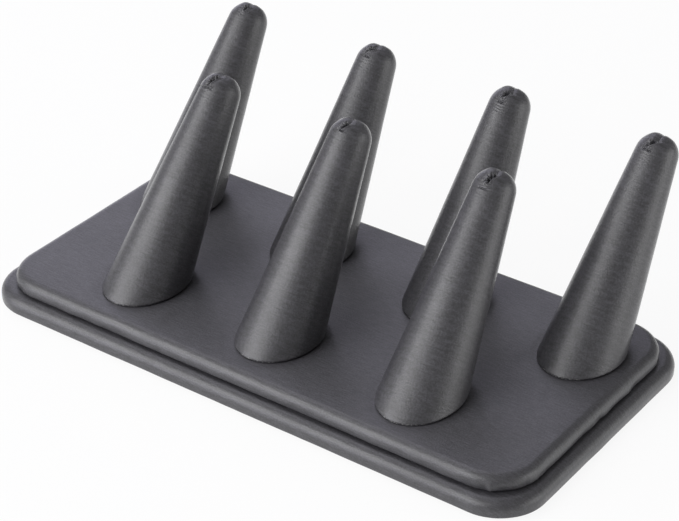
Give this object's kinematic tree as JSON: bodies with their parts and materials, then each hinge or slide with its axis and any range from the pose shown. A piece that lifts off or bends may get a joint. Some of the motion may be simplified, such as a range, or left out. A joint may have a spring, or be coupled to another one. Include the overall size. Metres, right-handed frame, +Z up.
{
  "type": "ring display stand",
  "caption": "Free-standing ring display stand: leaning tapered fingers in two staggered rows on a two-tier rectangular base, all wrapped in dark leatherette.",
  "frame": {"origin": "centre of the underside of the base, on the surface that the stand rests on", "axes": "+Z up, +X along the long side of the base, +Y from the front row of fingers to the back row, which is the way the fingers lean"},
  "size_m": [0.22, 0.1307, 0.0748],
  "materials": {
    "leatherette": "charcoal-black leatherette with a fine brushed linear grain and a soft satin sheen",
    "felt": "black non-woven felt sheet",
    "fibreboard": "raw medium-density fibreboard",
    "turned_wood": "raw turned hardwood",
    "foam": "soft grey foam sheet",
    "adhesive_sheet": "double-sided adhesive sheet",
    "zinc_screw": "zinc-plated steel"
  },
  "bodies": {
    "root": {"bottom_felt": "felt", "lower_board": "fibreboard", "lower_cover": "leatherette", "tier_adhesive": "adhesive_sheet", "upper_board": "fibreboard", "upper_pad": "foam", "upper_cover": "leatherette", "finger_screws": "zinc_screw", "finger_core_front_1": "turned_wood", "finger_core_front_2": "turned_wood", "finger_core_front_3": "turned_wood", "finger_core_back_1": "turned_wood", "finger_core_back_2": "turned_wood", "finger_core_back_3": "turned_wood", "finger_core_back_4": "turned_wood", "finger_cover_front_1": "leatherette", "finger_cover_front_2": "leatherette", "finger_cover_front_3": "leatherette", "finger_cover_back_1": "leatherette", "finger_cover_back_2": "leatherette", "finger_cover_back_3": "leatherette", "finger_cover_back_4": "leatherette"}
  },
  "joints": []
}
